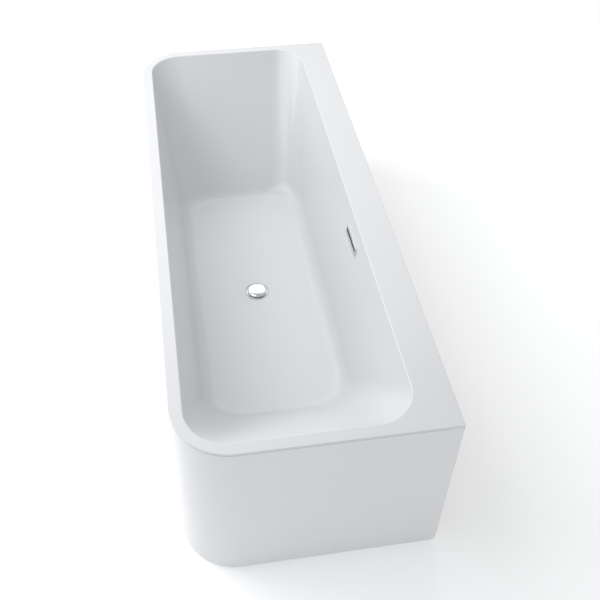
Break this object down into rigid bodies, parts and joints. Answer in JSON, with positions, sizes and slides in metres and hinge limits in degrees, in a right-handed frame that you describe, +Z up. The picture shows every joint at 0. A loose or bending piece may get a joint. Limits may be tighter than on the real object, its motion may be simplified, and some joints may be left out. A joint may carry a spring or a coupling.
{
  "type": "freestanding bathtub",
  "caption": "Back-to-wall acrylic bath with rounded front corners, flat wall-side deck, steel cradle on screw feet, pop-up waste, trap and slot overflow.",
  "frame": {"origin": "on the floor, under the middle of the bath's outline", "axes": "+Y along the bath to its far end, +X across it to the wall side with the deck, +Z up"},
  "size_m": [0.69, 1.8, 0.54],
  "materials": {
    "acrylic_shell": "white gloss acrylic",
    "acrylic_skirt": "white gloss acrylic",
    "backing": "glass fibre and resin, rough",
    "board": "chipboard",
    "batten": "sawn softwood",
    "frame_steel": "galvanised box section",
    "zinc": "bright zinc plate",
    "foot_plastic": "moulded nylon",
    "chrome": "polished chrome plate",
    "rubber": "black rubber",
    "white_plastic": "moulded polypropylene",
    "black_plastic": "moulded polypropylene",
    "hose": "corrugated flexible hose"
  },
  "bodies": {
    "root": {"basin_shell": "acrylic_shell", "apron_shell": "acrylic_skirt", "basin_laminate": "backing", "base_board": "board", "deck_batten": "board", "front_rim_batten": "batten", "near_rim_batten": "batten", "far_rim_batten": "batten", "front_foot_batten": "batten", "near_foot_batten": "batten", "far_foot_batten": "batten", "front_rail": "frame_steel", "rear_rail": "frame_steel", "near_cross_bar": "frame_steel", "mid_cross_bar": "frame_steel", "far_cross_bar": "frame_steel", "near_deck_post": "frame_steel", "mid_deck_post": "frame_steel", "far_deck_post": "frame_steel", "frame_bolt_near_front": "zinc", "frame_bolt_near_rear": "zinc", "frame_bolt_mid_front": "zinc", "frame_bolt_mid_rear": "zinc", "frame_bolt_far_front": "zinc", "frame_bolt_far_rear": "zinc", "foot_nut_near_front": "zinc", "foot_nut_near_rear": "zinc", "foot_nut_mid": "zinc", "foot_nut_far_front": "zinc", "foot_nut_far_rear": "zinc", "waste_flange": "chrome", "overflow_cover": "chrome", "waste_gasket": "rubber", "overflow_gasket": "rubber", "plug_cartridge": "white_plastic", "waste_body": "white_plastic", "trap_body": "white_plastic", "outlet_pipe": "white_plastic", "overflow_body": "white_plastic", "trap_nut": "black_plastic", "outlet_nut": "black_plastic", "upper_hose_nut": "black_plastic", "lower_hose_nut": "black_plastic", "overflow_hose": "hose"},
    "plug": {"pop_up_plug": "chrome", "plug_seal": "rubber"},
    "pad_near_front": {"foot_pad_near_front": "foot_plastic"},
    "stud_near_front": {"foot_stud_near_front": "zinc"},
    "pad_near_rear": {"foot_pad_near_rear": "foot_plastic"},
    "stud_near_rear": {"foot_stud_near_rear": "zinc"},
    "pad_mid": {"foot_pad_mid": "foot_plastic"},
    "stud_mid": {"foot_stud_mid": "zinc"},
    "pad_far_front": {"foot_pad_far_front": "foot_plastic"},
    "stud_far_front": {"foot_stud_far_front": "zinc"},
    "pad_far_rear": {"foot_pad_far_rear": "foot_plastic"},
    "stud_far_rear": {"foot_stud_far_rear": "zinc"}
  },
  "joints": [
    {"name": "plug_lift", "type": "slide", "parent": "root", "child": "plug", "axis": [0, 0, 1], "range_m": [0, 0.008]},
    {"name": "foot_height_near_front", "type": "slide", "parent": "root", "child": "pad_near_front", "axis": [0, 0, -1], "range_m": [-0.005, 0.02]},
    {"name": "stud_turn_near_front", "type": "hinge", "parent": "pad_near_front", "child": "stud_near_front", "pos_m": [-0.27, -0.56, 0.05], "axis": [0, 0, -1], "range_deg": [-1201, 4801]},
    {"name": "foot_height_near_rear", "type": "slide", "parent": "root", "child": "pad_near_rear", "axis": [0, 0, -1], "range_m": [-0.005, 0.02]},
    {"name": "stud_turn_near_rear", "type": "hinge", "parent": "pad_near_rear", "child": "stud_near_rear", "pos_m": [0.27, -0.56, 0.05], "axis": [0, 0, -1], "range_deg": [-1201, 4801]},
    {"name": "foot_height_mid", "type": "slide", "parent": "root", "child": "pad_mid", "axis": [0, 0, -1], "range_m": [-0.005, 0.02]},
    {"name": "stud_turn_mid", "type": "hinge", "parent": "pad_mid", "child": "stud_mid", "pos_m": [-0.0315, 0.15, 0.05], "axis": [0, 0, -1], "range_deg": [-1201, 4801]},
    {"name": "foot_height_far_front", "type": "slide", "parent": "root", "child": "pad_far_front", "axis": [0, 0, -1], "range_m": [-0.005, 0.02]},
    {"name": "stud_turn_far_front", "type": "hinge", "parent": "pad_far_front", "child": "stud_far_front", "pos_m": [-0.27, 0.56, 0.05], "axis": [0, 0, -1], "range_deg": [-1201, 4801]},
    {"name": "foot_height_far_rear", "type": "slide", "parent": "root", "child": "pad_far_rear", "axis": [0, 0, -1], "range_m": [-0.005, 0.02]},
    {"name": "stud_turn_far_rear", "type": "hinge", "parent": "pad_far_rear", "child": "stud_far_rear", "pos_m": [0.27, 0.56, 0.05], "axis": [0, 0, -1], "range_deg": [-1201, 4801]}
  ],
  "couplings": [
    {"joint": "stud_turn_near_front", "follows": "foot_height_near_front", "rad_per_m": 4188.8},
    {"joint": "stud_turn_near_rear", "follows": "foot_height_near_rear", "rad_per_m": 4188.8},
    {"joint": "stud_turn_mid", "follows": "foot_height_mid", "rad_per_m": 4188.8},
    {"joint": "stud_turn_far_front", "follows": "foot_height_far_front", "rad_per_m": 4188.8},
    {"joint": "stud_turn_far_rear", "follows": "foot_height_far_rear", "rad_per_m": 4188.8}
  ]
}
